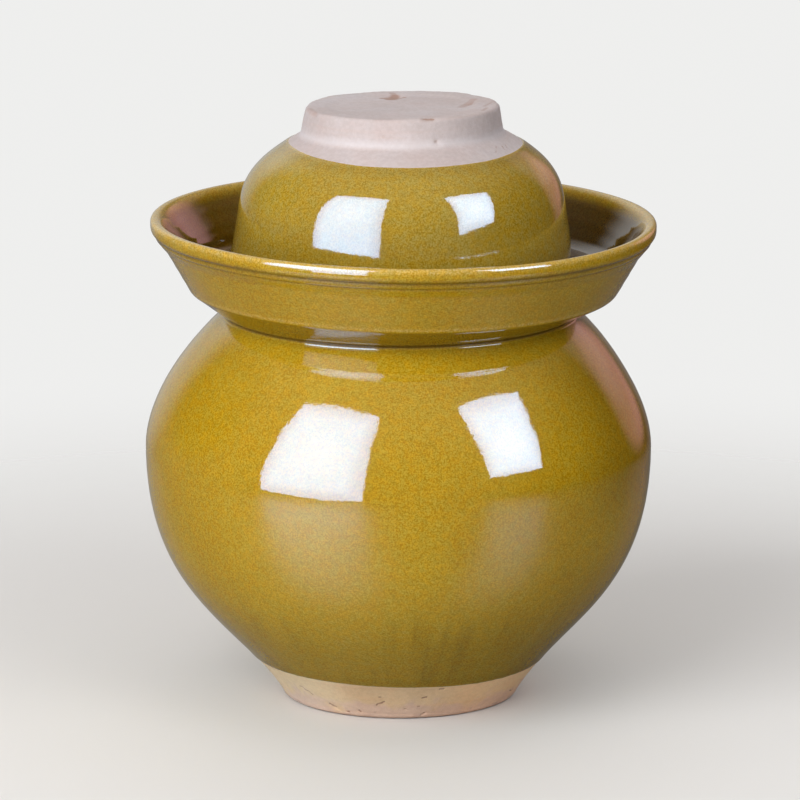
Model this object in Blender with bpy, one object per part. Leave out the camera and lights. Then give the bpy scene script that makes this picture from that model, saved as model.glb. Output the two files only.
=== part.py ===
"""Water-sealed ceramic pickling and fermenting crock.

A thrown stoneware jar with a water channel (moat) round its neck, an inverted
bowl that stands in the channel as the airlock lid, a small inner lid that
closes the mouth under the bowl, and a pair of half-moon weights that hold the
food under the brine.

Metres, +Z up.  The origin is the centre of the foot, on the table.  The weights
lie side by side along X.  Profiles are lists of (r, z) points about the Z axis.
"""

import math

import bmesh
import bpy
from mathutils import Vector

MM = 0.001


def mm(r, z):
    """An (r, z) point given in millimetres."""
    return (r * MM, z * MM)


GAP = 0.3 * MM  # air left between two pieces that rest on each other
WELD = 1e-6  # points of a turned mesh closer than this become one
SHARP_ANGLE = math.radians(40)  # edges that turn more than this are sharp
AROUND_LARGE = 44  # steps round the jar and the outer lid
AROUND_SMALL = 32  # steps round the inner lid

# ---------------------------------------------------------------- jar, outside
# A "pull" is the length of a Bezier handle.  A "lean" is a slope in degrees.
FOOT_R = 53.0 * MM  # over the rounded edge
FOOT_EDGE = 1.8 * MM
FOOT_RECESS_R = 34.0 * MM  # shallow hollow under the foot
FOOT_RECESS = 1.2 * MM
BELLY_R = 113.0 * MM
BELLY_Z = 113.5 * MM
LOWER_LEAN = 58.5  # wall as it leaves the foot
LOWER_PULL = 40.6 * MM
BELLY_PULL_DOWN = 66.4 * MM
BELLY_PULL_UP = 25.9 * MM
SHOULDER_LEAN = 29.0  # shoulder as it meets the neck
SHOULDER_PULL = 6.2 * MM
NECK = mm(79.3, 173.3)
NECK_CREASE = mm(79.9, 175.5)  # the neck turns out into the channel's underside

# --------------------------------------------------------------- water channel
MOAT_UNDER = mm(94.5, 184.2)  # end of the sloping underside
MOAT_CORNER = mm(95.9, 185.7)  # lower outside corner of the wall
MOAT_WALL_TOP = mm(105.1, 201.7)  # where the wall starts to flare
LIP_STEP = mm(111.0, 209.3)  # where the flare meets the rounded lip
LIP_LOW = mm(112.5, 212.4)  # the lip stands straight from here
LIP_HIGH = mm(112.5, 214.5)  # up to here
LIP_TOP = mm(110.4, 216.3)
LIP_INSIDE = mm(106.6, 213.9)
MOAT_INNER_CORNER = mm(95.2, 196.6)
MOAT_FLOOR_Z = 192.0 * MM
MOAT_FLOOR_OUT = (88.5 * MM, MOAT_FLOOR_Z)  # the flat floor turns up into the wall

# The channel's outline, one stretch a row, for sweep(): leaving handle and
# arriving handle (mm from the stretch's start and end), end point, steps.
STRAIGHT = ((0, 0), (0, 0))
CHANNEL_OUTSIDE = [  # from NECK_CREASE up to the lip
    ((4.1, 2.5), (-3.9, -2.2), MOAT_UNDER, 2),
    (*STRAIGHT, MOAT_CORNER, 1),
    ((2.4, 4.2), (-1.9, -3.3), MOAT_WALL_TOP, 2),
    ((1.3, 2.2), (-2.4, -2.9), LIP_STEP, 2),
    ((0.6, 1.0), (0, -1.3), LIP_LOW, 2),
    (*STRAIGHT, LIP_HIGH, 1),
    ((0, 1.1), (1.4, 0), LIP_TOP, 2),
]
CHANNEL_INSIDE = [  # from LIP_TOP down to the channel's floor
    ((-1.5, 0), (1.1, 1.6), LIP_INSIDE, 3),
    ((-3.4, -5.4), (3.0, 5.6), MOAT_INNER_CORNER, 3),
    ((-1.8, -3.0), (3.4, 0), MOAT_FLOOR_OUT, 3),
]

# ----------------------------------------------------------------------- mouth
COLLAR_R = 57.0 * MM
MOUTH_R = 49.0 * MM
COLLAR_TOP = 223.5 * MM
COLLAR_SEAT = 2.6 * MM  # width of the flat ring the inner lid rests on
COLLAR_ROOT_RISE = 9.0 * MM  # height of the collar's root above the channel's floor
COLLAR_FILLET = 5.0 * MM  # corner() trims it to the room under the root

# ----------------------------------------------------------------- jar, inside
FLOOR_Z = 9.5 * MM
FLOOR_R = 45.0 * MM
FLOOR_TURN = (FLOOR_R + 7.6 * MM, FLOOR_Z + 5.2 * MM)  # the wall bends into the floor
FLOOR_TURN_PULL = 3.6 * MM
INSIDE_LOWER_LEAN = 56.0
INSIDE_LOWER_PULL = 40.0 * MM
BELLY_WALL = 7.4 * MM
INSIDE_BELLY_R = BELLY_R - BELLY_WALL
INSIDE_BELLY_PULL = 62.0 * MM
THROAT_Z = 193.0 * MM  # where the shoulder turns up into the collar
THROAT_HANDLE = (1.0, -13.0)  # mm from the throat
SHOULDER_INSIDE = mm(104.0, 152.0)  # Bezier handle over the inside belly

# ------------------------------------------------------------------- outer lid
LID_SEAT_Z = MOAT_FLOOR_Z + GAP
LID_TOP = 268.7 * MM
LID_RING_R = 43.2 * MM  # foot ring of the bowl, uppermost on the lid
LID_RING_EDGE = 2.6 * MM
LID_RING_IN = 31.5 * MM
LID_RING_BASE = mm(45.2, 256.4)
LID_RING_FILLET = 1.6 * MM
LID_RECESS = 1.1 * MM  # hollow inside the ring
LID_SHOULDER = (LID_RING_BASE[0] + 2.0 * MM, LID_RING_BASE[1] - 1.4 * MM)
LID_SHOULDER_TURN = mm(65.7, 245.0)  # Bezier handle under the shoulder
LID_WAIST = mm(72.5, 224.3)  # the wall swells a little below this height
LID_WAIST_LEAN = 8.1  # from upright
LID_WAIST_PULL_UP = 12.4 * MM
LID_WAIST_PULL_DOWN = 0.7 * LID_WAIST_PULL_UP
LID_WIDEST = mm(75.7, 199.8)
LID_RIM_R = 75.6 * MM
LID_RIM_WALL = 5.2 * MM
LID_WALL = 5.6 * MM
LID_SIDE_INSET = 0.6 * MM  # start of the inside curve, further in than LID_WALL
LID_INSIDE_SIDE_PULL = 29.41 * MM  # upward, handle over the rim
LID_INSIDE_SIDE_LEAN = 2.3 * MM  # inward, the same handle
LID_SHOULDER_LEAN = 28.8  # inside curve at the shoulder
LID_INSIDE_SHOULDER_PULL = 25.33 * MM
LID_CROWN_Z = 256.6 * MM  # highest point of the bowl's inside
LID_CROWN_PULL = 18.0 * MM
LID_CROWN_SIDE_PULL = 12.0 * MM

# ------------------------------------------------------------------- inner lid
INNER_SEAT_Z = COLLAR_TOP + GAP
INNER_R = COLLAR_R + 3.0 * MM  # overhangs the collar
INNER_PLATE = 6.5 * MM
INNER_SKIRT_R = MOUTH_R - 2.6 * MM  # drops loosely into the mouth
INNER_SKIRT_WALL = 5.0 * MM
INNER_SKIRT_DEPTH = 7.0 * MM
KNOB_R = 12.5 * MM
KNOB_TOP = 21.5 * MM  # above the seat
KNOB_CROWN_R = 0.55 * KNOB_R  # nearly flat part of the knob's top

# ----------------------------------------------------------- half-moon weights
WEIGHT_SEAT_Z = FLOOR_Z + GAP
WEIGHT_R = MOUTH_R - 5.0 * MM  # the pair goes flat through the mouth
WEIGHT_THICK = 20.0 * MM
WEIGHT_SPLIT = 3.0 * MM  # between the straight sides of the pair
WEIGHT_CORNER = 6.0 * MM
WEIGHT_EDGE = 2.2 * MM
WEIGHT_ARC_STEPS = 20
WEIGHT_ARC_TRIM = 2  # arc steps given up to each rounded corner
HOLE_R = 8.0 * MM  # finger hole
HOLE_X = 20.0 * MM
HOLE_SEGMENTS = 20
CUTTER_EXTRA = 10.0 * MM  # cutter's length beyond the weight's thickness


# --------------------------------------------------------------------- helpers
def bezier(start, leaving, arriving, end, steps):
    """Points of a cubic Bezier in a plane, its first point left out."""
    points = []
    for i in range(1, steps + 1):
        t = i / steps
        u = 1 - t
        weights = (u**3, 3 * u * u * t, 3 * u * t * t, t**3)
        controls = (start, leaving, arriving, end)
        points.append(
            tuple(sum(w * control[k] for w, control in zip(weights, controls)) for k in (0, 1))
        )
    return points


def corner(before, at, after, radius, steps=4):
    """A rounded corner at a point of an outline, tangent to both its sides."""
    at, before, after = Vector(at), Vector(before), Vector(after)
    to_before, to_after = (before - at).normalized(), (after - at).normalized()
    half = to_before.angle(to_after) / 2
    room = 0.49 * min((before - at).length, (after - at).length)
    reach = min(radius / math.tan(half), room)
    start, end = at + to_before * reach, at + to_after * reach
    turn = math.pi - 2 * half
    pull = reach * (4 / 3) * math.tan(turn / 4) / math.tan(turn / 2)
    return [tuple(start)] + bezier(start, start - to_before * pull, end - to_after * pull, end, steps)


def lean(point, degrees, length):
    """A Bezier handle that leaves a point at an angle above the horizontal."""
    angle = math.radians(degrees)
    return (point[0] + length * math.cos(angle), point[1] + length * math.sin(angle))


def shift(point, offset):
    """A point moved by an (r, z) offset in millimetres."""
    return (point[0] + offset[0] * MM, point[1] + offset[1] * MM)


def near(anchor, *offsets):
    """Points that ease an edge, at (r, z) offsets in millimetres from its anchor."""
    return [shift(anchor, offset) for offset in offsets]


def sweep(start, stretches):
    """Curved and straight stretches joined end to end, the first point left out."""
    points = []
    for leaving, arriving, end, steps in stretches:
        points += bezier(start, shift(start, leaving), shift(end, arriving), end, steps)
        start = end
    return points


def clay(name, colour, roughness):
    material = bpy.data.materials.new(name)
    material.use_nodes = True
    shader = material.node_tree.nodes["Principled BSDF"]
    shader.inputs["Base Color"].default_value = (*colour, 1.0)
    shader.inputs["Roughness"].default_value = roughness
    shader.inputs["Metallic"].default_value = 0.0
    material.diffuse_color = (*colour, 1.0)
    return material


def place(name, bm, location, parent):
    """Turn a bmesh into an object of the scene, and free the bmesh."""
    mesh = bpy.data.meshes.new(name)
    bm.to_mesh(mesh)
    bm.free()
    placed = bpy.data.objects.new(name, mesh)
    bpy.context.scene.collection.objects.link(placed)
    placed.parent = parent
    placed.location = location
    return placed


def clay_piece(name, bm, material, seat_z, parent):
    """A smooth-shaded piece with its origin at seat_z on the axis."""
    bmesh.ops.recalc_face_normals(bm, faces=bm.faces[:])
    piece = place(name, bm, (0, 0, seat_z), parent)
    piece.data.shade_smooth()
    piece.data.set_sharp_from_angle(angle=SHARP_ANGLE)
    piece.data.materials.append(material)
    return piece


def turned(name, profile, around, material, seat_z, parent):
    """A piece turned on the wheel: its (r, z) profile spun once round Z."""
    bm = bmesh.new()
    verts = [bm.verts.new((r, 0.0, z - seat_z)) for r, z in profile]
    edges = [bm.edges.new(pair) for pair in zip(verts, verts[1:])]
    bmesh.ops.spin(
        bm,
        geom=verts + edges,
        cent=(0, 0, 0),
        axis=(0, 0, 1),
        angle=2 * math.pi,
        steps=around,
        use_merge=True,
        use_duplicate=False,
    )
    # the spin leaves a ring of coincident points wherever the profile meets the axis
    bmesh.ops.remove_doubles(bm, verts=bm.verts[:], dist=WELD)
    return clay_piece(name, bm, material, seat_z, parent)


# ------------------------------------------------------------------------- jar
def jar_outside():
    """From the axis under the foot, up the outside of the jar to the top of the lip."""
    foot = (FOOT_R, FOOT_EDGE)
    belly = (BELLY_R, BELLY_Z)
    points = [
        (0.0, FOOT_RECESS),
        (FOOT_RECESS_R - 2 * FOOT_RECESS, FOOT_RECESS),
        (FOOT_RECESS_R, 0.0),
        (FOOT_R - FOOT_EDGE, 0.0),
        (FOOT_R - 0.3 * FOOT_EDGE, 0.3 * FOOT_EDGE),
        foot,
    ]
    below_belly = (BELLY_R, BELLY_Z - BELLY_PULL_DOWN)
    above_belly = (BELLY_R, BELLY_Z + BELLY_PULL_UP)
    points += bezier(foot, lean(foot, LOWER_LEAN, LOWER_PULL), below_belly, belly, 9)
    points += bezier(belly, above_belly, lean(NECK, -SHOULDER_LEAN, SHOULDER_PULL), NECK, 7)
    points.append(NECK_CREASE)
    points += sweep(NECK_CREASE, CHANNEL_OUTSIDE)
    return points


def collar():
    """From the channel's floor, up over the collar and down to the throat."""
    base = (COLLAR_R, MOAT_FLOOR_Z)
    root = (COLLAR_R, MOAT_FLOOR_Z + COLLAR_ROOT_RISE)
    outer_edge = (COLLAR_R, COLLAR_TOP)
    inner_edge = (MOUTH_R, COLLAR_TOP)
    throat = (MOUTH_R, THROAT_Z)
    edge_radius = (COLLAR_R - MOUTH_R - COLLAR_SEAT) / 2
    points = corner(MOAT_FLOOR_OUT, base, root, COLLAR_FILLET, 3)
    points.append(root)
    points += corner(root, outer_edge, inner_edge, edge_radius, 3)
    points += corner(outer_edge, inner_edge, throat, edge_radius, 3)
    points.append(throat)
    return points


def jar_inside():
    """From the throat down the inside of the jar to the axis."""
    throat = (MOUTH_R, THROAT_Z)
    belly = (INSIDE_BELLY_R, BELLY_Z)
    floor_edge = (FLOOR_R, FLOOR_Z)
    below_belly = (INSIDE_BELLY_R, BELLY_Z - INSIDE_BELLY_PULL)
    turn_up = lean(FLOOR_TURN, INSIDE_LOWER_LEAN, INSIDE_LOWER_PULL)
    turn_down = lean(FLOOR_TURN, INSIDE_LOWER_LEAN, -FLOOR_TURN_PULL)
    points = bezier(throat, shift(throat, THROAT_HANDLE), SHOULDER_INSIDE, belly, 7)
    points += bezier(belly, below_belly, turn_up, FLOOR_TURN, 7)
    points += bezier(FLOOR_TURN, turn_down, shift(floor_edge, (2.8, 0)), floor_edge, 3)
    points.append((0.0, FLOOR_Z))
    return points


def crock_body(material, parent):
    profile = jar_outside() + sweep(LIP_TOP, CHANNEL_INSIDE) + collar() + jar_inside()
    return turned("crock_body", profile, AROUND_LARGE, material, 0.0, parent)


# ------------------------------------------------------------------- outer lid
def lid_outside():
    """From the axis over the foot ring and down the outside to the widest point."""
    recess_z = LID_TOP - LID_RECESS
    ring_edge = (LID_RING_R, LID_TOP - LID_RING_EDGE)
    points = [(0.0, recess_z), (LID_RING_IN - 3.0 * MM, recess_z)]
    points += near((LID_RING_IN, LID_TOP), (-0.9, -0.5), (0, 0))
    points += [
        (LID_RING_R - LID_RING_EDGE, LID_TOP),
        (LID_RING_R - 0.32 * LID_RING_EDGE, LID_TOP - 0.26 * LID_RING_EDGE),
        ring_edge,
    ]
    points += corner(ring_edge, LID_RING_BASE, LID_SHOULDER, LID_RING_FILLET, 2)
    points.append(LID_SHOULDER)
    waist_up = lean(LID_WAIST, 90.0 + LID_WAIST_LEAN, LID_WAIST_PULL_UP)
    waist_down = lean(LID_WAIST, 90.0 + LID_WAIST_LEAN, -LID_WAIST_PULL_DOWN)
    points += bezier(LID_SHOULDER, LID_SHOULDER_TURN, waist_up, LID_WAIST, 6)
    points += bezier(LID_WAIST, waist_down, shift(LID_WIDEST, (-0.1, 7.0)), LID_WIDEST, 3)
    return points


def lid_rim():
    """Round the rim that stands on the channel's floor, from outside to inside."""
    outer = (LID_RIM_R, LID_SEAT_Z)
    inner = (LID_RIM_R - LID_RIM_WALL, LID_SEAT_Z)
    return near(outer, (0, 2.6), (-0.7, 0.7), (-2.0, 0)) + near(
        inner, (1.6, 0), (0.4, 0.9), (0, 2.8)
    )


def lid_inside():
    """Up the inside of the bowl to its crown on the axis."""
    side = (LID_RIM_R - LID_SIDE_INSET - LID_WALL, LID_WIDEST[1])
    side_up = (side[0] - LID_INSIDE_SIDE_LEAN, side[1] + LID_INSIDE_SIDE_PULL)
    # one wall thickness in from the outside, square to the shoulder's slope
    shoulder = lean(LID_SHOULDER, LID_SHOULDER_LEAN + 90, 0.0)
    slope = math.radians(LID_SHOULDER_LEAN)
    shoulder = (
        LID_SHOULDER[0] - LID_WALL * math.sin(slope),
        LID_SHOULDER[1] - LID_WALL * math.cos(slope),
    )
    shoulder_out = lean(shoulder, -LID_SHOULDER_LEAN, LID_INSIDE_SHOULDER_PULL)
    shoulder_in = lean(shoulder, 180 - LID_SHOULDER_LEAN, LID_CROWN_SIDE_PULL)
    crown = (0.0, LID_CROWN_Z)
    points = [side]
    points += bezier(side, side_up, shoulder_out, shoulder, 7)
    points += bezier(shoulder, shoulder_in, (LID_CROWN_PULL, LID_CROWN_Z), crown, 4)
    return points


def outer_lid(material, parent):
    """The inverted bowl: foot ring on top, rim in the channel."""
    profile = lid_outside() + lid_rim() + lid_inside()
    return turned("outer_lid", profile, AROUND_LARGE, material, LID_SEAT_Z, parent)


# ------------------------------------------------------------------- inner lid
def inner_lid(material, parent):
    """A flat knobbed disc; the skirt under it drops into the mouth."""
    seat = INNER_SEAT_Z
    plate = seat + INNER_PLATE
    knob = seat + KNOB_TOP
    skirt_foot = seat - INNER_SKIRT_DEPTH
    skirt_in = INNER_SKIRT_R - INNER_SKIRT_WALL

    knob_crown = (KNOB_CROWN_R, knob - 0.5 * MM)
    knob_side = (KNOB_R, knob - 5.0 * MM)
    knob_foot = (KNOB_R - 1.0 * MM, plate + 1.6 * MM)
    profile = [(0.0, knob), knob_crown]
    profile += sweep(
        knob_crown,
        [
            ((5.0, -0.9), (0, 1.6), knob_side, 3),
            ((-0.8, -4.6), (-5.2, 2.8), knob_foot, 5),
        ],
    )
    profile += near((KNOB_R, plate), (5.0, 0.6))
    profile += near((INNER_R, plate), (-8.0, 0), (-2.0, -0.9), (0, -2.9))
    profile += near((INNER_R, seat), (0, 1.6), (-1.6, 0))
    profile += near((INNER_SKIRT_R, seat), (0.6, 0), (0, -0.8))
    profile += near((INNER_SKIRT_R, skirt_foot), (-0.5, 1.2), (-1.8, 0))
    profile += near((skirt_in, skirt_foot), (0.8, 0), (-0.3, 1.2))
    profile += near((skirt_in, seat), (-1.2, -1.2), (-3.6, 0))
    profile += near((0.0, seat), (0, 0.3))
    return turned("inner_lid", profile, AROUND_SMALL, material, seat, parent)


# --------------------------------------------------------------------- weights
def weight_outline():
    """The +X half moon from above: an arc, a straight side, two rounded corners."""
    side_x = WEIGHT_SPLIT / 2
    tip_y = math.sqrt(WEIGHT_R**2 - side_x**2)
    tip_angle = math.atan2(tip_y, side_x)
    arc = []
    for i in range(WEIGHT_ARC_TRIM, WEIGHT_ARC_STEPS - WEIGHT_ARC_TRIM + 1):
        angle = -tip_angle + 2 * tip_angle * i / WEIGHT_ARC_STEPS
        arc.append((WEIGHT_R * math.cos(angle), WEIGHT_R * math.sin(angle)))
    middle = (side_x, 0.0)
    far_corner = corner(arc[-1], (side_x, tip_y), middle, WEIGHT_CORNER)
    near_corner = corner(middle, (side_x, -tip_y), arc[0], WEIGHT_CORNER)
    return arc + far_corner + near_corner


def finger_hole_cutter(name, side, parent):
    bm = bmesh.new()
    bmesh.ops.create_cone(
        bm,
        cap_ends=True,
        segments=HOLE_SEGMENTS,
        radius1=HOLE_R,
        radius2=HOLE_R,
        depth=WEIGHT_THICK + CUTTER_EXTRA,
    )
    centre = (side * HOLE_X, 0, WEIGHT_SEAT_Z + WEIGHT_THICK / 2)
    cutter = place(name, bm, centre, parent)
    cutter.hide_render = True
    cutter.display_type = "WIRE"
    return cutter


def half_moon(name, side, material, parent):
    """One weight of the pair; side is +1 towards +X and -1 towards -X."""
    bm = bmesh.new()
    base = bm.faces.new([bm.verts.new((side * x, y, 0.0)) for x, y in weight_outline()])
    grown = bmesh.ops.extrude_face_region(bm, geom=[base])
    top = [item for item in grown["geom"] if isinstance(item, bmesh.types.BMVert)]
    bmesh.ops.translate(bm, verts=top, vec=(0, 0, WEIGHT_THICK))
    piece = clay_piece(name, bm, material, WEIGHT_SEAT_Z, parent)

    edge = piece.modifiers.new("soft_edge", "BEVEL")
    edge.width = WEIGHT_EDGE
    edge.segments = 2
    edge.limit_method = "ANGLE"
    edge.angle_limit = SHARP_ANGLE

    hole = piece.modifiers.new("finger_hole", "BOOLEAN")
    hole.operation = "DIFFERENCE"
    hole.solver = "EXACT"
    hole.object = finger_hole_cutter(name + "_finger_hole_cutter", side, parent)
    return piece


# ----------------------------------------------------------------------- build
def build():
    for old in list(bpy.data.objects):
        bpy.data.objects.remove(old, do_unlink=True)

    stand = bpy.data.objects.new("crock_stand", None)
    bpy.context.scene.collection.objects.link(stand)

    crock_body(clay("amber_glaze", (0.43, 0.27, 0.045), roughness=0.08), stand)
    outer_lid(clay("amber_glaze_lid", (0.40, 0.26, 0.05), roughness=0.08), stand)
    inner_lid(clay("inner_lid_glaze", (0.36, 0.22, 0.05), roughness=0.12), stand)
    bare_clay = clay("bare_clay", (0.62, 0.47, 0.40), roughness=0.85)
    half_moon("weight_left", -1, bare_clay, stand)
    half_moon("weight_right", 1, bare_clay, stand)


build()
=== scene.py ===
"""A water-sealed ceramic crock: jar, bowl lid, knobbed inner lid and two half-moon weights.

It stands on z = 0 round the z axis, its front towards -y and its right towards +x. Profiles and
meshes are worked out in millimetres; the written meshes, materials, lights and camera use metres.
"""
import math
from types import SimpleNamespace

import bpy
import numpy as np
from mathutils import Matrix, Vector


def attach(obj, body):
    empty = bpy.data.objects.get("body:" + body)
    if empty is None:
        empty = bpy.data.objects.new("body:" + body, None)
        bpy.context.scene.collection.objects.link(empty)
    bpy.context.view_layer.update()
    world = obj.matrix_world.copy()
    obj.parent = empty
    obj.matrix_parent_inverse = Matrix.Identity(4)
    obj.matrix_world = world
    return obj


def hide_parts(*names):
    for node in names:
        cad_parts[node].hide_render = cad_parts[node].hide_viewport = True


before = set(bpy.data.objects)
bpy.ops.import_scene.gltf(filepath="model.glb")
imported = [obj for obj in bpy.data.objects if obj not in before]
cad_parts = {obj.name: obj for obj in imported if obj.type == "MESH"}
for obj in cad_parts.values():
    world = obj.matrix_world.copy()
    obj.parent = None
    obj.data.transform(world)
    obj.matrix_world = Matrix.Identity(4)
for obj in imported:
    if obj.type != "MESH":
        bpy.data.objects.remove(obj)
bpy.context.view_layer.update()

# ---------------------------------------------------------------- profiles


class Path:
    """A profile in (radius, z) as a fine polyline. A point marked "foot" has its arc length
    in path.foot."""

    def __init__(self, start):
        self.points = [start]
        self.length = 0.0

    def line(self, end):
        start = self.points[-1]
        steps = max(2, int(math.hypot(end[0] - start[0], end[1] - start[1]) / 0.4))
        for i in range(1, steps + 1):
            self._add(tuple(start[k] + (end[k] - start[k]) * i / steps for k in (0, 1)))
        return self

    def curve(self, pull_start, pull_end, end, steps):
        """A cubic Bezier curve."""
        start = self.points[-1]
        for i in range(1, steps + 1):
            t = i / steps
            u = 1 - t
            self._add(
                tuple(
                    u**3 * start[k] + 3 * u * u * t * pull_start[k]
                    + 3 * u * t * t * pull_end[k] + t**3 * end[k]
                    for k in (0, 1)
                )
            )
        return self

    def round(self, corner, after, radius):
        """Goes towards a corner and round it, ready to go on to the point after it."""
        before, corner, after = Vector(self.points[-1]), Vector(corner), Vector(after)
        to_before, to_after = (before - corner).normalized(), (after - corner).normalized()
        half = to_before.angle(to_after) / 2
        reach = min(
            radius / math.tan(half),
            0.98 * (before - corner).length,
            0.98 * (after - corner).length,
        )
        turn = math.pi - 2 * half
        pull = reach * (4 / 3) * math.tan(turn / 4) / math.tan(turn / 2)
        start, end = corner + to_before * reach, corner + to_after * reach
        self.line(tuple(start))
        pull_start, pull_end = start - to_before * pull, end - to_after * pull
        return self.curve(tuple(pull_start), tuple(pull_end), tuple(end), 10)

    def mark(self, name):
        setattr(self, name, self.length)
        return self

    def _add(self, point):
        last = self.points[-1]
        self.length += math.hypot(point[0] - last[0], point[1] - last[1])
        self.points.append(point)

    def table(self):
        """Arc length, radius, z and the two parts of the outward normal, as arrays."""
        points = np.array(self.points)
        keep = np.r_[True, np.hypot(*np.diff(points, axis=0).T) > 1e-7]
        points = points[keep]
        arc = np.r_[0, np.cumsum(np.hypot(*np.diff(points, axis=0).T))]
        tangent = np.gradient(points, arc, axis=0)
        tangent /= np.linalg.norm(tangent, axis=1)[:, None]
        return arc, points[:, 0], points[:, 1], tangent[:, 1], -tangent[:, 0]


def lean(point, degrees, length):
    """The point at a length from another, in a direction up from outwards."""
    angle = math.radians(degrees)
    return (point[0] + length * math.cos(angle), point[1] + length * math.sin(angle))


def pick(table, x):
    """The value of the first (limit, value) row whose limit is above x."""
    return next(value for limit, value in table if x < limit)


def ring_arcs(path, spacing, finer):
    """Arc lengths of the rings, spaced by a table of (limit, step) and closer near each
    (place, step, growth) of finer. A place named by its mark always gets a ring."""
    places, fixed = [], {0.0, path.length}
    for place, step, growth in finer:
        if isinstance(place, str):
            place = getattr(path, place)
            fixed.add(place)
        places.append((place, step, growth))
    fixed = sorted(fixed)
    arcs = []
    for start, end in zip(fixed, fixed[1:]):
        arc, run = start, [start]
        while arc < end:
            near = [step + abs(arc - place) * growth for place, step, growth in places]
            arc += min([pick(spacing, arc)] + near)
            run.append(arc)
        scale = (end - start) / (run[-1] - start)
        arcs += [start + (x - start) * scale for x in run[:-1]]
    return np.array(arcs + [path.length])


# ---------------------------------------------------- unevenness and masks


def waves(theta, terms):
    """A closed wobble round a ring: the sum of (times round, size, phase)."""
    return sum(size * np.sin(times * theta + phase) for times, size, phase in terms)


def ripple(seed, count, low, high):
    """A repeatable set of plane waves, wavelengths between low and high: vectors and phases."""
    rng = np.random.default_rng(seed)
    direction = rng.normal(size=(count, 3))
    direction /= np.linalg.norm(direction, axis=1)[:, None]
    length = rng.uniform(low, high, count)
    return direction * (2 * math.pi / length)[:, None], rng.uniform(0, 2 * math.pi, count)


def lumps(points, wave_set, size):
    vectors, phases = wave_set
    return size * np.sin(points @ vectors.T + phases).sum(1) / math.sqrt(len(phases))


def spiral(along, pitch, turn=0.0):
    """Throwing or turning rings, a pitch apart."""
    return np.sin(2 * math.pi * along / pitch + turn)


def smooth(x, start, end):
    t = np.clip((x - start) / (end - start), 0, 1)
    return t * t * (3 - 2 * t)


def window(x, start, full, fade, end):
    """Rises from 0 to 1 between start and full, and falls back between fade and end."""
    return smooth(x, start, full) * (1 - smooth(x, fade, end))


def bell(x, centre, width):
    return np.exp(-(((x - centre) / width) ** 2))


def polar(azimuth, radius, z):
    """A point by its azimuth in degrees from the front, positive to the right."""
    angle = math.radians(azimuth)
    return np.array([radius * math.sin(angle), -radius * math.cos(angle), z])


# ------------------------------------------------------------------ meshes


def add_object(name, data):
    obj = bpy.data.objects.new(name, data)
    bpy.context.scene.collection.objects.link(obj)
    return obj


def smooth_object(name, points, faces, materials, attributes, slots=None):
    """A smooth closed mesh from points in mm, its faces turned outwards."""
    mesh = bpy.data.meshes.new(name)
    mesh.from_pydata((points / 1000).tolist(), [], faces)
    if slots is not None:
        mesh.polygons.foreach_set("material_index", np.array(slots, np.int32))
    mesh.polygons.foreach_set("use_smooth", np.ones(len(faces), bool))
    for material in materials:
        mesh.materials.append(material)
    for key, values in attributes.items():
        layer = mesh.attributes.new(key, "FLOAT", "POINT")
        layer.data.foreach_set("value", np.asarray(values, np.float32))
    mesh.update()
    # the outside faces out when the signed volume is positive
    mesh.calc_loop_triangles()
    corners = np.empty(len(mesh.loop_triangles) * 3, np.int32)
    mesh.loop_triangles.foreach_get("vertices", corners)
    tri = points[corners.reshape(-1, 3)]
    if np.einsum("ij,ij->i", tri[:, 0], np.cross(tri[:, 1], tri[:, 2])).sum() < 0:
        mesh.flip_normals()
    return add_object(name, mesh)


def band(a, a_count, b, b_count):
    """Faces between two rings whose first points are a and b. The counts are equal or 2:1,
    or one ring is a single point."""

    def at_a(j):
        return a + j % a_count

    def at_b(j):
        return b + j % b_count

    if a_count == 1:
        return [(a, at_b(j + 1), at_b(j)) for j in range(b_count)]
    if b_count == 1:
        return [(at_a(j), at_a(j + 1), b) for j in range(a_count)]
    if a_count == b_count:
        return [(at_a(j), at_a(j + 1), at_b(j + 1), at_b(j)) for j in range(a_count)]
    faces = []
    for j in range(min(a_count, b_count)):
        if b_count > a_count:
            a0, a1 = at_a(j), at_a(j + 1)
            b0, b1, b2 = (at_b(2 * j + k) for k in range(3))
            faces += [(a0, b1, b0), (a0, a1, b1), (a1, b2, b1)]
        else:
            b0, b1 = at_b(j), at_b(j + 1)
            a0, a1, a2 = (at_a(2 * j + k) for k in range(3))
            faces += [(a0, a1, b0), (a1, b1, b0), (a1, a2, b1)]
    return faces


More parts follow.
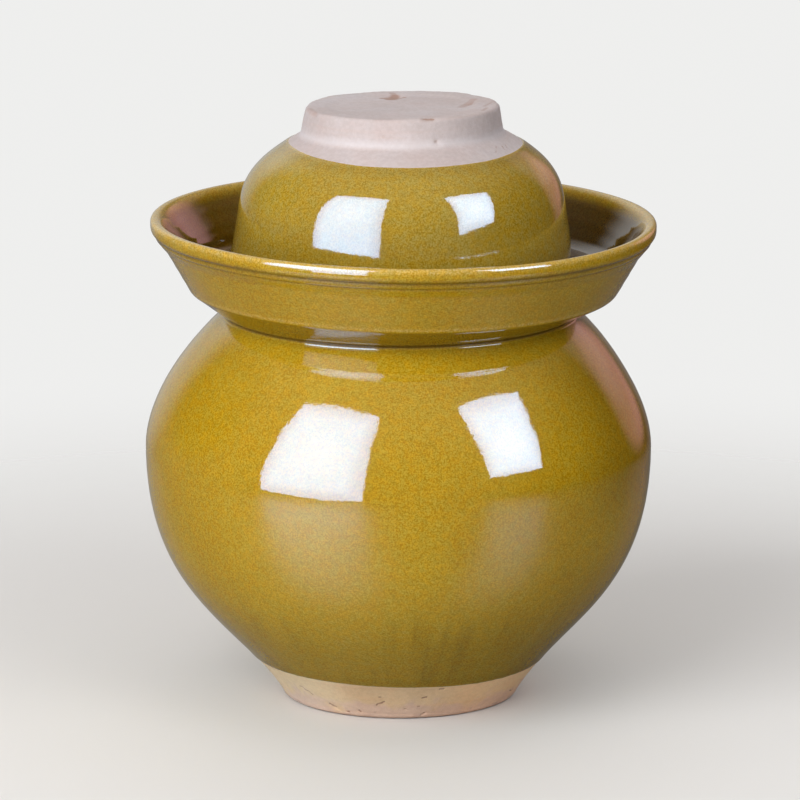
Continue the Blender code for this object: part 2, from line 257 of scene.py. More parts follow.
def turned(name, path, arcs, counts, slot_at, materials, move, attributes, shift=None):
    """A thrown piece with a ring of points at each arc length. counts is a table of (limit, points
    round a ring), slot_at(arc) the material of the band there. shift slides points along the
    profile, move displaces them, and attributes maps names to functions of them."""
    arc_column, *columns = path.table()
    starts, sizes, arc_of, theta_of, points, normals = [], [], [], [], [], []
    total = 0
    for arc in arcs:
        on_axis = np.interp(arc, arc_column, columns[0]) < 1e-6
        count = 1 if on_axis else pick(counts, arc)
        theta = np.arange(count) * (2 * math.pi / count)
        own = np.full(count, arc)
        at = own if shift is None or on_axis else own + shift(own, theta)
        radius, z, normal_r, normal_z = (np.interp(at, arc_column, column) for column in columns)
        if on_axis:
            radius = radius * 0
        cos, sin = np.cos(theta), np.sin(theta)
        points.append(np.stack([radius * cos, radius * sin, z], 1))
        normals.append(np.stack([normal_r * cos, normal_r * sin, normal_z], 1))
        arc_of.append(own)
        theta_of.append(theta)
        starts.append(total)
        sizes.append(count)
        total += count
    arc_of, theta_of = np.concatenate(arc_of), np.concatenate(theta_of)
    points = np.vstack(points)
    points = points + move(arc_of, theta_of, points, np.vstack(normals))
    faces, slots = [], []
    for i in range(len(arcs) - 1):
        new = band(starts[i], sizes[i], starts[i + 1], sizes[i + 1])
        faces += new
        slots += [slot_at((arcs[i] + arcs[i + 1]) / 2)] * len(new)
    values = {key: value(arc_of, theta_of, points) for key, value in attributes.items()}
    return smooth_object(name, points, faces, materials, values, slots)


# ---------------------------------------------------------------- materials


class Nodes:
    """A small way to write the node tree of a material or world."""

    def __init__(self, owner, coordinates="Object"):
        owner.use_nodes = True
        self.owner = owner
        self.tree = owner.node_tree
        self.tree.nodes.clear()
        self.out = self.add(
            "OutputWorld" if isinstance(owner, bpy.types.World) else "OutputMaterial"
        )
        self.where = self.add("TexCoord").outputs[coordinates]

    def add(self, kind, inputs=(), **settings):
        """A node with its settings, and its inputs as pairs or a dict of key and value."""
        node = self.tree.nodes.new("ShaderNode" + kind)
        for key, value in settings.items():
            setattr(node, key, value)
        for key, value in dict(inputs).items():
            self.put(node.inputs[key], value)
        return node

    def put(self, socket, value):
        """Links an output to the socket, or sets its value; a colour of three gets alpha 1."""
        if isinstance(value, bpy.types.NodeSocket):
            self.tree.links.new(value, socket)
        elif isinstance(value, tuple) and len(value) == 3 and len(socket.default_value) == 4:
            socket.default_value = (*value, 1.0)
        else:
            socket.default_value = value

    def surface(self, shader):
        self.put(self.out.inputs["Surface"], shader)
        return self.owner

    def math(self, operation, first, second=0.0, *third, clamp=False):
        values = enumerate((first, second, *third))
        return self.add("Math", values, operation=operation, use_clamp=clamp).outputs[0]

    def times(self, first, second):
        return self.math("MULTIPLY", first, second)

    def vector(self, operation, *values, scale=None):
        node = self.add("VectorMath", enumerate(values), operation=operation)
        if scale is not None:
            self.put(node.inputs["Scale"], scale)
        is_number = operation in ("DOT_PRODUCT", "DISTANCE", "LENGTH")
        return node.outputs["Value" if is_number else 0]

    def axes(self):
        return self.add("SeparateXYZ", {0: self.where}).outputs

    def noise(self, scale, detail, roughness, seed, stretch=(1, 1, 1)):
        location = (seed, seed * 0.7, -seed)
        mapping = {"Vector": self.where, "Scale": stretch, "Location": location}
        inputs = {
            "Vector": self.add("Mapping", mapping).outputs[0],
            "Scale": scale,
            "Detail": detail,
            "Roughness": roughness,
        }
        return self.add("TexNoise", inputs).outputs["Fac"]

    def noises(self, table, seed):
        """Every noise of a table, by its name."""
        return SimpleNamespace(
            **{
                key: self.noise(scale, detail, roughness, seed + own_seed, *stretch)
                for key, (scale, detail, roughness, own_seed, *stretch) in table.items()
            }
        )

    def span(self, x, start, end, low=0.0, high=1.0, kind="SMOOTHSTEP"):
        """Takes start to end over to low to high."""
        values = enumerate((x, start, end, low, high))
        return self.add("MapRange", values, interpolation_type=kind).outputs[0]

    def mix(self, share, under, over, blend="MIX"):
        values = {0: share, 6: under, 7: over}
        return self.add("Mix", values, data_type="RGBA", blend_type=blend).outputs[2]

    def tint(self, colour, factors):
        return self.mix(1.0, colour, factors, "MULTIPLY")

    def veil(self, under, over, mask, start, full, strength=None):
        """Lays a colour over another as the mask goes from start to full."""
        share = self.span(mask, start, full)
        if strength is not None:
            share = self.times(share, strength)
        return self.mix(share, under, over)

    def attribute(self, name):
        return self.add("Attribute", attribute_name=name).outputs["Fac"]

    def strokes(self, marks, wobble=0.0006):
        """Thin wavering marks, each (start, end, half width, strength), all in mm."""
        noise = self.add("TexNoise", {"Vector": self.where, "Scale": 900}).outputs["Color"]
        where = self.vector("MULTIPLY_ADD", noise, (wobble,) * 3, self.where)
        where = self.vector("SUBTRACT", where, (wobble / 2,) * 3)
        total = None
        for start, end, half, strength in marks:
            start, end, half = Vector(start / 1000), Vector(end / 1000), half / 1000
            line = end - start
            offset = self.vector("SUBTRACT", where, start)
            per_length = line / max(line.length_squared, 1e-12)
            share = self.vector("DOT_PRODUCT", offset, per_length)
            along = self.vector("SCALE", line, scale=self.math("ADD", share, clamp=True))
            gap = self.vector("DISTANCE", offset, along)
            inside = self.span(gap, half * 0.5, half * 1.25, strength, 0.0)
            total = inside if total is None else self.math("MAXIMUM", total, inside)
        return total

    def finish(self, colour, roughness, height, depth, strength, ior):
        """The material, its bumps as deep as depth in metres."""
        bump = {"Strength": strength, "Distance": depth, "Height": height}
        inputs = {
            "Base Color": colour,
            "Roughness": roughness,
            "IOR": ior,
            "Normal": self.add("Bump", bump).outputs[0],
        }
        return self.surface(self.add("BsdfPrincipled", inputs).outputs[0])


def scaled(colour, factors):
    return tuple(part * factor for part, factor in zip(colour, factors))


WHITE = (1, 1, 1)
GLAZE_BODY = (0.410, 0.257, 0.0105)
# deep glaze colour, also used for painted shade
GLAZE_POOLED_AND_SHADED = (0.088, 0.046, 0.003)
GLAZE_PALE = (0.600, 0.410, 0.090)
CLAY_BODY = (0.680, 0.470, 0.290)
CLAY_LID = (0.535, 0.462, 0.446)

# scale, detail, roughness, seed and any stretch of each noise
GLAZE_NOISE = {
    "cloud": (14, 3, 0.55, 1.3),
    "mottle": (170, 3, 0.6, 4.1),
    "fleck": (1150, 2, 0.6, 2.9),
    "grain": (2100, 1, 0.5, 7.7),
    "rust": (430, 3, 0.65, 9.2),
    "hue": (300, 3, 0.65, 13.1),
    "polish": (60, 2, 0.5, 5),
    "swell": (95, 1, 0.4, 3),
    "dimple": (600, 1, 0.5, 6),
}
CLAY_NOISE = {
    "cloud": (22, 4, 0.6, 0.7),
    "grain": (2200, 2, 0.7, 3.1),
    "sand": (700, 3, 0.6, 8.3),
    "lines": (60, 3, 0.6, 5.5, (0.25, 0.25, 9.0)),
    "blush": (60, 3, 0.6, 11.4),
    "dab": (520, 2, 0.6, 12.9),
    "patch": (55, 1, 0.5, 2.2),
}


def glaze(name, body, seed=0.0, runs=False):
    """Transparent amber glaze over buff clay: fine iron speckle, soft mottling, darker where
    it pools and where shade is painted in, and paler where it thins."""
    nodes = Nodes(bpy.data.materials.new(name))
    noise = nodes.noises(GLAZE_NOISE, seed)
    dull, fresh = scaled(body, (0.96, 0.93, 0.8)), scaled(body, (1.04, 1.05, 1.1))
    colour = nodes.veil(dull, fresh, noise.cloud, 0.36, 0.66)
    # mask, where it starts and is full, strength, and what it makes of the body colour
    layers = [
        (noise.mottle, 0.44, 0.72, 0.18, (0.88, 0.82, 0.6)),
        (noise.rust, 0.56, 0.72, 0.25, (0.92, 0.66, 0.5)),
    ]
    if runs:
        run = nodes.attribute("run")
        layers += [
            (run, 0.5, 0.12, 0.95, (0.62, 0.60, 0.7)),
            (run, 0.5, 0.9, 0.75, (1.12, 1.20, 2.6)),
        ]
    for mask, start, full, strength, factors in layers:
        colour = nodes.veil(colour, scaled(body, factors), mask, start, full, strength)
    # darker where glaze pools, and painted shade in creases, the channel, the inside and under
    # overhangs
    colour = nodes.mix(nodes.attribute("pool"), colour, GLAZE_POOLED_AND_SHADED)
    colour = nodes.mix(nodes.attribute("thin"), colour, GLAZE_PALE)
    # drifting hue, then light and dark speckle
    cool = nodes.tint(colour, (0.95, 1.01, 1.35))
    warm = nodes.tint(colour, (1.05, 0.975, 0.65))
    colour = nodes.veil(cool, warm, noise.hue, 0.36, 0.64)
    light = nodes.tint(colour, (1.22, 1.29, 2.1))
    dark = nodes.tint(colour, (0.78, 0.72, 0.30))
    speckle = nodes.math("ADD", nodes.times(noise.fleck, 0.55), nodes.times(noise.grain, 0.45))
    colour = nodes.mix(nodes.span(speckle, 0.40, 0.60, kind="LINEAR"), dark, light)
    roughness = nodes.span(noise.polish, 0.3, 0.7, low=0.035, high=0.06)
    skin = nodes.math("ADD", noise.swell, nodes.times(noise.dimple, 0.22))
    return nodes.finish(colour, roughness, skin, depth=0.00006, strength=1.0, ior=1.62)


def clay(
    name, body, specks, seed, marks=(), warm=(0.46, 0.27, 0.19), low=WHITE, high=WHITE, sides=None
):
    """Bare fired clay: powdery grain, soft blushes, faint turning lines, rusty specks and a few
    scratches. low and high tint it below 3 mm and above 10 mm; sides are painted light, lighter
    clay to the left and to the right."""
    nodes = Nodes(bpy.data.materials.new(name))
    noise = nodes.noises(CLAY_NOISE, seed)
    times, tint, veil = nodes.times, nodes.tint, nodes.veil
    dull, fresh = scaled(body, (0.93, 0.90, 0.88)), scaled(body, (1.03, 1.05, 1.07))
    colour = veil(dull, fresh, noise.cloud, 0.35, 0.68)
    colour = veil(colour, scaled(body, (1.0, 0.88, 0.80)), noise.lines, 0.48, 0.72, strength=0.30)
    # rosy and pale blushes, then small dabs
    blushes = 0.6 if sides else 0.42
    rosy = tint(colour, (1.01, 0.945, 0.925))
    colour = veil(colour, rosy, noise.blush, 0.48, 0.66, blushes)
    pale = tint(colour, (0.98, 1.0, 1.03))
    colour = veil(colour, pale, noise.blush, 0.50, 0.34, blushes)
    dark, light = tint(colour, (0.965, 0.957, 0.95)), tint(colour, (1.03, 1.036, 1.04))
    colour = veil(dark, light, noise.dab, 0.36, 0.64)
    # tints by height, their border wavering with the blushes
    axes = nodes.axes()
    blush_offset = nodes.math("SUBTRACT", noise.blush, 0.5)
    level = nodes.math("MULTIPLY_ADD", blush_offset, 0.03, axes["Z"])
    colour = tint(colour, veil(low, high, level, 0.003, 0.010))
    colour = veil(colour, scaled(body, (0.72,) * 3), noise.grain, 0.55, 0.35, strength=0.16)
    # rusty specks, gathered in patches
    cells = nodes.add("TexVoronoi", {"Vector": nodes.where, "Scale": 150}).outputs["Distance"]
    specked = times(nodes.span(cells, 0.16, 0.06), nodes.span(noise.patch, 0.55, 0.66))
    colour = nodes.mix(times(specked, specks), colour, warm)
    fine = nodes.math("ADD", times(noise.grain, 0.25), times(noise.lines, 0.8))
    height = nodes.math("ADD", times(noise.sand, 0.7), fine)
    if marks:
        stroke = nodes.strokes(marks)
        colour = nodes.mix(times(stroke, 0.85), colour, scaled(warm, (0.80, 0.66, 0.55)))
        height = nodes.math("SUBTRACT", height, times(stroke, 1.2))
    # painted light: lighter clay towards the left and the right
    if sides:
        left = veil(WHITE, sides[0], axes["X"], -0.012, -0.044)
        right = veil(WHITE, sides[1], axes["X"], 0.008, 0.040)
        colour = tint(colour, tint(left, right))
    colour = nodes.mix(nodes.attribute("scar"), colour, warm)
    # paler clay where the thin mask reaches the clay: a painted highlight along the lid's fillet
    lit_pale_clay = tuple(min(0.86, part) for part in scaled(body, (1.24, 1.34, 1.40)))
    colour = nodes.mix(nodes.attribute("thin"), colour, lit_pale_clay)
    roughness = nodes.span(noise.sand, 0.3, 0.7, low=0.80, high=0.95)
    return nodes.finish(colour, roughness, height, depth=0.00022, strength=0.8, ior=1.45)


# ------------------------------------------------------------------ the jar

FOOT_EDGE = (53.0, 1.8)
BELLY = (113.0, 113.5)
NECK = (79.3, 173.3)
LIP_TOP = 216.3
CHANNEL_Z = 192.0  # the water channel's floor
COLLAR_R, MOUTH_R, COLLAR_TOP = 57.0, 49.0, 223.5  # the ring between channel and mouth
INSIDE_BELLY_R = 105.6
FLOOR_Z = 9.5
FLOOR_TURN = (52.6, 14.7)  # where the inside wall turns into the floor
GLAZE_LINE_Z = 17.8  # where the glaze stops over the foot
SEAT_GAP = 0.3  # between the jar and whatever rests in it

# from the middle of the underside, up the outside, over lip and collar, to the inside floor
jar = (
    Path((0.0, 1.2))
    .line((29.0, 1.2))
    .curve((31.0, 1.2), (33.0, 0.0), (34.5, 0.0), 12)
    .line((51.2, 0.0))
    .curve((52.1, 0.0), (52.7, 0.7), FOOT_EDGE, 12).mark("foot")
    .curve(lean(FOOT_EDGE, 58.5, 40.6), (BELLY[0], BELLY[1] - 66.4), BELLY, 240).mark("belly")
    .curve((BELLY[0], BELLY[1] + 25.9), lean(NECK, -29.0, 6.2), NECK, 160).mark("neck")
    .curve((79.0, 173.9), (79.0, 174.9), (79.9, 175.5), 14).mark("crease")
    .curve((84.0, 178.0), (90.6, 182.0), (94.5, 184.2), 50)
    .curve((95.1, 184.55), (95.5, 185.0), (95.9, 185.7), 10).mark("corner")
    .curve((98.3, 189.9), (103.2, 198.4), (105.1, 201.7), 60).mark("flare")
    .curve((106.5, 204.1), (109.2, 206.4), (111.0, 209.3), 30).mark("step")
    .curve((111.6, 210.3), (112.4, 211.1), (112.5, 212.4), 16)
    .line((112.55, 214.5)).mark("edge")
    .curve((112.5, 215.6), (111.8, LIP_TOP), (110.4, LIP_TOP), 16).mark("lip")
    .curve((108.9, LIP_TOP), (107.7, 215.5), (106.6, 213.9), 16)
    .curve((102.9, 208.5), (98.4, 202.2), (95.2, 196.6), 40).mark("inner_corner")
    .curve((93.4, 193.6), (91.9, CHANNEL_Z), (88.5, CHANNEL_Z), 20)
    .round((COLLAR_R, CHANNEL_Z), (COLLAR_R, 215.0), 5.0).mark("root")
    .round((COLLAR_R, COLLAR_TOP), (MOUTH_R, COLLAR_TOP), 2.7).mark("collar")
    .round((MOUTH_R, COLLAR_TOP), (MOUTH_R, 193.0), 2.7).mark("mouth")
    .line((MOUTH_R, 193.0)).mark("throat")
    .curve((50.0, 180.0), (104.0, 152.0), (INSIDE_BELLY_R, BELLY[1]), 120)
    .curve((INSIDE_BELLY_R, 51.5), lean(FLOOR_TURN, 56.0, 40.0), FLOOR_TURN, 120)
    .curve(lean(FLOOR_TURN, 56.0, -3.6), (47.8, FLOOR_Z), (45.0, FLOOR_Z), 16).mark("floor")
    .line((0.0, FLOOR_Z))
)

jar_arc, jar_r, jar_z, _, _ = jar.table()
lower_side = (jar_arc > jar.foot) & (jar_arc < jar.belly)
jar.glaze = float(np.interp(GLAZE_LINE_Z, jar_z[lower_side], jar_arc[lower_side]))
JAR_SLOW = ripple(11, 14, 55, 120)
JAR_FINE = ripple(12, 24, 16, 34)
JAR_INSIDE = ripple(13, 20, 25, 60)
JAR_CLAY = ripple(14, 40, 3, 9)

# scratches and nicks on the bare foot: azimuth and z of both ends, half width, depth
FOOT_MARKS = [
    (-47.5, 12.0, -42.5, 8.6, 0.34, 0.40), (-34.5, 4.8, -32.0, 3.3, 0.62, 0.45),
    (-32.0, 3.3, -29.0, 1.5, 0.34, 0.35), (-10.5, 7.2, -7.0, 9.1, 0.52, 0.45),
    (-26.0, 2.0, -25.2, 2.0, 0.50, 0.20), (-19.6, 3.3, -19.0, 2.7, 0.55, 0.35),
    (2.2, 5.2, 2.8, 5.2, 0.40, 0.30), (10.3, 1.6, 11.8, 2.6, 0.55, 0.35),
    (9.9, 11.1, 11.2, 11.5, 0.62, 0.40), (16.4, 15.6, 17.8, 15.8, 0.55, 0.30),
    (8.3, 6.6, 8.8, 6.6, 0.34, 0.20), (-8.8, 11.8, -8.2, 11.8, 0.34, 0.20),
    (62.0, 6.0, 64.5, 5.2, 0.40, 0.30), (96.0, 10.0, 101.0, 7.2, 0.42, 0.35),
    (131.0, 5.0, 133.0, 6.4, 0.45, 0.35), (168.0, 9.6, 175.0, 8.6, 0.40, 0.30),
    (-118.0, 7.2, -112.0, 4.4, 0.42, 0.35), (-150.0, 3.4, -148.5, 3.6, 0.50, 0.30),
]


def on_foot(azimuth, z):
    return polar(azimuth, float(np.interp(z, jar_z[lower_side], jar_r[lower_side])), z)


def jar_shift(arc, theta):
    """The glaze line dips to the right and wavers a little."""
    near = window(arc, jar.foot, jar.glaze - 1.5, jar.glaze + 2.0, jar.glaze + 38.0)
    wobble = [
        (1, -1.35, math.pi / 2), (2, 0.22, 0.4), (3, 0.16, 2.1),
        (5, 0.12, 4.0), (9, 0.06, 1.0), (14, 0.03, 2.0),
    ]
    return near * waves(theta, wobble)


def jar_move(arc, theta, points, normals):
    z = points[:, 2]
    outer = arc < jar.lip
    bare = arc <= jar.glaze
    lift = np.zeros(len(arc))
    # the glaze stands proud of the clay, thickest in a soft bead just above its edge
    above = arc - jar.glaze
    bead = 0.12 * bell(above, 2.2, 2.0) * smooth(above, 0.0, 0.8)
    coat = 0.22 * smooth(above, 0.0, 0.55) + bead - 0.10 * smooth(above, 4.0, 30.0)
    lift += (above > 0) * coat * outer
    # thrown surface: faint spiral rings and slow unevenness
    side = window(arc, jar.glaze, jar.glaze + 20, jar.neck - 12, jar.neck - 2)
    lift += side * 0.012 * spiral(z, 8.5, theta + 1.6 * np.sin(z / 23.0))
    lift += side * (lumps(points, JAR_SLOW, 0.055) + lumps(points, JAR_FINE, 0.008))
    wall = window(arc, jar.corner, jar.corner + 4, jar.flare, jar.edge)
    lift += wall * (0.05 * spiral(z, 5.2, theta) + lumps(points, JAR_FINE, 0.02))
    # two shallow turned lines under the lip, and a ridge between them
    lift -= 0.32 * bell(arc, jar.step + 0.3, 0.9) + 0.17 * bell(arc, jar.step - 2.9, 0.5)
    lift += 0.08 * bell(arc, jar.step - 1.4, 0.8)
    # the inside of the jar and the channel keep their throwing rings
    inside = window(arc, jar.throat, jar.throat + 20, jar.floor - 30, jar.floor)
    lift += inside * (0.30 * spiral(z, 9.5, theta) + lumps(points, JAR_INSIDE, 0.25))
    bend = jar.inner_corner
    channel = window(arc, jar.lip + 4, jar.lip + 10, bend - 3, bend + 2)
    lift += channel * (0.16 * spiral(z, 6.0, theta + 0.8))
    # bare foot: trimmed, slightly rough, with a few nicks
    foot = smooth(arc, jar.foot - 4, jar.foot - 1) * bare
    lift += foot * (0.045 * spiral(z, 1.9, 0.5 * theta) + lumps(points, JAR_CLAY, 0.05))
    under = (arc < jar.foot - 4) * (arc > 3)
    lift += under * lumps(points, JAR_CLAY, 0.03) * (z > 0.4)
    for azimuth, low, end_azimuth, high, half, depth in FOOT_MARKS:
        start = on_foot(azimuth, low)
        line = on_foot(end_azimuth, high) - start
        share = np.clip((points - start) @ line / (line @ line), 0, 1)
        gap = np.linalg.norm(points - start - share[:, None] * line, axis=1)
        lift -= depth * bell(gap, 0.0, half * 1.3) * bare
    out = normals * lift[:, None]
    # hand-made: the belly leans a hair left, the channel sits to the right and dips there
    body = window(arc, jar.foot, jar.foot + 45, jar.belly + 30, jar.neck - 6) * outer
    out[:, 0] -= 0.7 * body
    rim = window(arc, jar.neck, jar.corner + 2, bend - 2, bend + 6)
    out[:, 0] += 1.55 * rim
    out[:, 2] -= rim * math.tan(math.radians(0.62)) * points[:, 0]
    out[:, 2] += rim * waves(theta, [(2, 0.22, 0.6), (3, 0.14, 2.0), (5, 0.05, 1.0)])
    return out


def jar_pool_and_shade(arc, theta, points):
    """Where the glaze lies thick and dark, and where shade is painted in."""
    z = points[:, 2]
    uneven = 1 + waves(theta, [(3, 0.08, 0.2), (7, 0.07, 1.1), (11, 0.05, 2.7)])
    # the crease: pooled glaze with painted shade; under the flare: painted shade
    pool = 0.62 * bell(arc, jar.crease - 0.6, 1.5) * uneven
    pool += 0.58 * window(arc, jar.neck + 0.5, jar.neck + 2, jar.corner - 1.6, jar.corner - 0.4)
    # the two lines under the lip: pooled glaze with painted shade
    pool += 0.66 * bell(arc, jar.step + 0.5, 1.35) * uneven
    pool += 0.48 * bell(arc, jar.step - 2.9, 0.6) * uneven
    # the lower side, painted shade in the channel (darkest on the right) and inside the jar, and the
    # bead
    lower = 1 - smooth(arc, jar.glaze + 10, jar.glaze + 62)
    pool += 0.13 * lower * (arc > jar.glaze - 2)
    channel = window(arc, jar.lip + 2, jar.lip + 9, jar.collar - 14, jar.collar - 6)
    pool += (0.91 + 0.09 * np.cos(theta)) * channel
    pool += 0.35 * smooth(arc, jar.mouth + 6, jar.throat + 10)
    pool += 0.16 * bell(arc, jar.glaze + 3.0, 3.0) * uneven
    # darker on the right of the belly
    azimuth = (np.degrees(theta) + 270) % 360 - 180
    right = window(azimuth, 38, 66, 95, 130) * (arc > jar.foot) * (arc < jar.neck)
    pool += 0.32 * right * window(z, 86, 110, 150, 172)
    return np.clip(pool, 0, 1.0)


def jar_thin(arc, theta, points):
    """Where the glaze draws thin over edges and at its line."""
    thin = 0.60 * bell(arc, jar.edge + 1.0, 1.5) + 0.30 * bell(arc, jar.lip + 1.0, 1.8)
    thin += 0.30 * bell(arc, jar.corner + 0.4, 0.8)
    line = np.exp(-np.clip(arc - jar.glaze, 0, None) / 0.45)
    thin += 0.75 * line * (arc >= jar.glaze)
    thin += 0.50 * bell(arc, jar.collar, 2.2) + 0.50 * bell(arc, jar.mouth - 2.0, 2.2)
    return np.clip(thin, 0, 0.9)


def jar_scar(arc, theta, points):
    """Broken wear round the foot's edge."""
    breaks = smooth(waves(theta, [(9, 0.5, 0.3), (17, 0.5, 1.1), (31, 0.4, 2.0)]), 0.2, 0.9)
    return np.clip(0.55 * bell(arc, jar.foot - 0.5, 0.7) * (0.35 + 0.65 * breaks), 0, 1)


def jar_run(arc, theta, points):
    """Faint runs of glaze down the lower belly: 0.5 is neutral."""
    rng = np.random.default_rng(77)
    runs = np.zeros(len(arc))
    up = smooth(arc, jar.glaze, jar.glaze + 50)
    for count, size in ((150, 0.6), (331, 0.4)):
        levels = rng.uniform(-1, 1, (2, count))
        at = theta / (2 * math.pi) * count
        i = np.floor(at).astype(int) % count
        share = smooth(at - np.floor(at), 0, 1)
        low, high = (ring[i] * (1 - share) + ring[(i + 1) % count] * share for ring in levels)
        runs += size * (low * (1 - up) + high * up)
    fade = window(arc, jar.glaze + 0.5, jar.glaze + 6, jar.glaze + 38, jar.glaze + 66)
    around = smooth(np.sin(theta + 0.9) * 0.5 + 0.3 * np.sin(3 * theta), -0.3, 0.8)
    return 0.5 + 0.5 * runs * fade * (0.55 + 0.45 * around)


foot_strokes = [
    (on_foot(azimuth, low), on_foot(end_azimuth, high), half, 1.0)
    for azimuth, low, end_azimuth, high, half, _ in FOOT_MARKS
]
jar_glaze = glaze("amber_glaze_on_jar", GLAZE_BODY, runs=True)
foot_clay = clay(
    "bare_foot_clay",
    CLAY_BODY,
    specks=0.5,
    seed=1.0,
    marks=foot_strokes,
    low=(1.04, 0.99, 1.10),
    high=(1.10, 1.09, 0.96),
    # painted light on the foot's left and right
    sides=((1.18, 1.36, 1.53), (1.39, 1.30, 1.19)),
)

jar_rings = ring_arcs(
    jar,
    [(jar.neck, 2.9), (jar.throat, 3.0), (math.inf, 5.0)],
    [
        ("foot", 0.35, 0.25), ("glaze", 0.16, 0.16), ("neck", 0.45, 0.22), ("crease", 0.45, 0.22),
        ("corner", 0.28, 0.22), ("flare", 1.0, 0.2), ("step", 0.30, 0.2),
        (jar.step - 2.9, 0.30, 0.2), ("edge", 0.5, 0.2), ("lip", 0.5, 0.2),
        ("inner_corner", 1.0, 0.25), ("root", 1.0, 0.25), (jar.root - 27.0, 3.0, 0.3),
        ("collar", 0.5, 0.25), ("mouth", 0.6, 0.25), ("floor", 1.6, 0.3),
        (jar.foot - 19.5, 0.8, 0.25),
    ],
)
JAR_COUNTS = [
    (4, 32), (9, 64), (16, 128), (jar.foot - 17.0, 256), (jar.glaze + 3.0, 512),
    (jar.throat + 8, 256), (jar.length - 26, 128), (jar.length - 12, 64),
    (jar.length - 4, 32), (math.inf, 16),
]

crock = turned(
    "crock_body_glazed",
    jar,
    jar_rings,
    JAR_COUNTS,
    lambda arc: 1 if arc < jar.glaze else 0,
    [jar_glaze, foot_clay],
    move=jar_move,
    shift=jar_shift,
    attributes={"pool": jar_pool_and_shade, "thin": jar_thin, "scar": jar_scar, "run": jar_run},
)
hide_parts("crock_body")
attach(crock, "crock")

# ------------------------------------------------------------ the bowl lid

LID_SEAT = CHANNEL_Z + SEAT_GAP
LID_TOP = 268.7
LEAN_BACK, LEAN_LEFT = 1.45, 0.75  # of the lid's top, in degrees
LID_LINE_R = 54.2  # where its glaze stops, on the shoulder
LID_SIDE_Z = 199.8  # where the upright rim ends
SIDE_IN = (69.4, LID_SIDE_Z)
SHOULDER, SHOULDER_SLOPE, SHOULDER_WALL = (47.3, 255.0), 28.8, 5.6  # slope in degrees
SHOULDER_IN = lean(SHOULDER, 270 - SHOULDER_SLOPE, SHOULDER_WALL)

# from the middle of the inside, down to the rim and up the outside to the middle of the top
lid = (
    Path((0.0, 256.6))
    .curve((18.0, 256.6), lean(SHOULDER_IN, 180 - SHOULDER_SLOPE, 12.0), SHOULDER_IN, 40)
    .mark("inside_top")
    .curve(
        lean(SHOULDER_IN, -SHOULDER_SLOPE, 0.85 * 29.8),
        (SIDE_IN[0] - 2.3, SIDE_IN[1] + 0.85 * 34.6),
        SIDE_IN,
        80,
    )
    .line((70.4, LID_SEAT + 3.4)).mark("rim_in")
    .curve((70.4, LID_SEAT + 1.2), (71.4, LID_SEAT), (73.0, LID_SEAT), 14).mark("rim")
    .curve((74.7, LID_SEAT), (75.6, LID_SEAT + 1.1), (75.6, LID_SEAT + 3.2), 14).mark("rim_out")
    .line((75.75, LID_SIDE_Z)).mark("side")
    .curve((75.55, 202.8), (75.3, 205.6), (74.81, 208.5), 30)
    .curve((74.48, 210.5), (74.11, 212.8), (73.82, 215.0), 24)
    .curve((73.42, 218.0), (72.97, 221.3), (72.5, 224.3), 30)
    .curve((70.55, 236.6), (65.7, 245.0), SHOULDER, 150).mark("shoulder")
    .curve((46.1, 255.7), (45.0, 256.3), (44.7, 258.6), 16).mark("fillet")
    .line((43.3, 266.4))
    .curve((43.1, 267.7), (42.6, 268.6), (41.4, LID_TOP), 14).mark("ring_edge")
    .line((34.6, LID_TOP)).mark("ring_in")
    .curve((33.2, LID_TOP), (31.8, 267.9), (28.8, 267.8), 12)
    .line((0.0, 267.7))
)

lid_arc, lid_r, lid_z, _, _ = lid.table()
on_dome = (lid_arc > lid.side) & (lid_arc < lid.shoulder)
lid.glaze = float(np.interp(-LID_LINE_R, -lid_r[on_dome], lid_arc[on_dome]))
LID_SLOW = ripple(21, 14, 45, 90)
LID_FINE = ripple(22, 20, 14, 30)
LID_CLAY = ripple(23, 40, 3, 9)
LID_INSIDE = ripple(24, 20, 20, 50)

# nicks in the ring's edge and chips on top: azimuth, radius, z, size, depth, scar strength
LID_CHIPS = [
    (16.0, 41.9, 268.2, 1.4, 0.55, 0.8), (19.0, 41.9, 268.3, 1.3, 0.5, 0.8),
    (13.0, 41.9, 268.2, 1.2, 0.4, 0.5), (-172.0, 26.0, 267.7, 3.4, 0.8, 0.8),
    (-177.0, 29.5, 267.9, 2.6, 0.6, 0.7), (98.0, 31.0, 267.9, 2.6, 0.35, 0.35),
    (20.2, 44.4, 258.6, 1.1, 0.5, 0.5), (-64.0, 42.2, 267.8, 1.6, 0.4, 0.3),
    (262.0, 42.0, 267.9, 1.4, 0.4, 0.4), (97.0, 41.9, 267.9, 1.7, 0.45, 0.4),
]


def lid_tilt(x, y):
    """How far the lid's top rises at a place: it leans back and a little to the left."""
    return math.tan(math.radians(LEAN_LEFT)) * x - math.tan(math.radians(LEAN_BACK)) * y - 1.1


def lid_shift(arc, theta):
    """The glaze line sits higher at the sides, most of all on the left, and wavers."""
    beyond = np.clip((lid.shoulder - arc) / (lid.shoulder - lid.glaze), 0, 1)
    near = np.where(arc < lid.glaze, bell(arc, lid.glaze, 15.0), beyond)
    wobble = [
        (1, -2.0, math.pi / 2), (2, 2.6, math.pi / 2), (3, 0.2, 0.2), (5, 0.14, 2.0), (11, 0.05, 1.0)
    ]
    return near * waves(theta, wobble)


